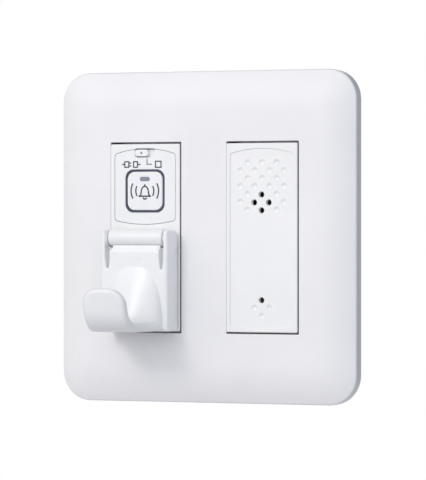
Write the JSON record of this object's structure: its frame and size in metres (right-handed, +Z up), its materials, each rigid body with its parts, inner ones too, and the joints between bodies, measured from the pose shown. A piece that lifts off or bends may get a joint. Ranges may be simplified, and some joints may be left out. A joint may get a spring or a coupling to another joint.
{
  "type": "nurse call button wall plate",
  "caption": "White two-gang wall plate with a nurse call button and slide switch above a hinged handset hook cover, beside an intercom speaker and microphone panel.",
  "frame": {"origin": "middle of the four box screw slots, on the wall plane behind the cover plate", "axes": "+X to the viewer's right, +Z up, +Y into the wall; the front faces -Y"},
  "size_m": [0.116, 0.0694, 0.12],
  "materials": {
    "white_satin": "satin white moulding",
    "frame_resin": "matte light grey moulding",
    "zinc_steel": "zinc-plated pressed steel",
    "screw_steel": "zinc-plated screw",
    "navy_plastic": "glossy dark navy",
    "lamp_lens": "smoked translucent",
    "lamp_body": "moulded lamp",
    "board": "green solder mask",
    "black_plastic": "moulded black",
    "terminal_green": "moulded green",
    "relay_blue": "moulded blue",
    "brass": "plain brass",
    "spring_steel": "spring wire",
    "foam": "black foam",
    "rubber_black": "soft rubber",
    "paper_black": "pressed paper",
    "copper": "wound copper",
    "magnet_grey": "plated magnet",
    "can_aluminium": "drawn can",
    "wire_red": "insulated wire",
    "sleeve_navy": "shrink sleeve"
  },
  "bodies": {
    "base": {"cover_plate": "white_satin", "plate_frame": "frame_resin", "plate_frame_screws": "screw_steel", "mounting_strap": "zinc_steel", "module_clips": "spring_steel", "clip_screws": "screw_steel", "call_front": "white_satin", "label_panel": "white_satin", "button_ring": "navy_plastic", "call_housing": "frame_resin", "call_board": "board", "call_board_screws": "screw_steel", "call_lamp": "lamp_body", "tact_switch_body": "black_plastic", "slide_switch_body": "black_plastic", "jack_body": "black_plastic", "jack_contacts": "brass", "call_relay": "relay_blue", "call_terminal_block": "terminal_green", "call_terminal_clamps": "brass", "button_spring": "spring_steel", "intercom_front": "white_satin", "intercom_housing": "frame_resin", "speaker_gasket": "foam", "speaker_basket": "zinc_steel", "speaker_cone": "paper_black", "speaker_coil": "copper", "speaker_magnet": "magnet_grey", "speaker_yoke": "zinc_steel", "speaker_bracket": "zinc_steel", "speaker_bracket_screws": "screw_steel", "mic_boot": "rubber_black", "mic_capsule": "can_aluminium", "intercom_leads": "wire_red", "intercom_board": "board", "intercom_board_screws": "screw_steel", "intercom_chip": "black_plastic", "intercom_capacitors": "sleeve_navy", "intercom_terminal_block": "terminal_green", "intercom_terminal_clamps": "brass"},
    "button": {"call_button": "white_satin", "button_lamp_window": "lamp_lens", "tact_plunger": "black_plastic"},
    "slider": {"slide_knob": "white_satin", "slide_actuator": "black_plastic"},
    "hook": {"hook_cover": "white_satin", "hinge_shaft": "zinc_steel"}
  },
  "joints": [
    {"name": "button_press", "type": "slide", "parent": "base", "child": "button", "axis": [0, 1, 0], "range_m": [0, 0.0005], "stiffness_N_per_m": 1500, "springref_m": -0.0005, "deforming": ["button_spring"]},
    {"name": "switch_slide", "type": "slide", "parent": "base", "child": "slider", "axis": [1, 0, 0], "range_m": [0, 0.0027]},
    {"name": "hook_hinge", "type": "hinge", "parent": "base", "child": "hook", "pos_m": [-0.023, -0.01445, -0.0002], "axis": [-1, 0, 0], "range_deg": [0, 110]}
  ]
}
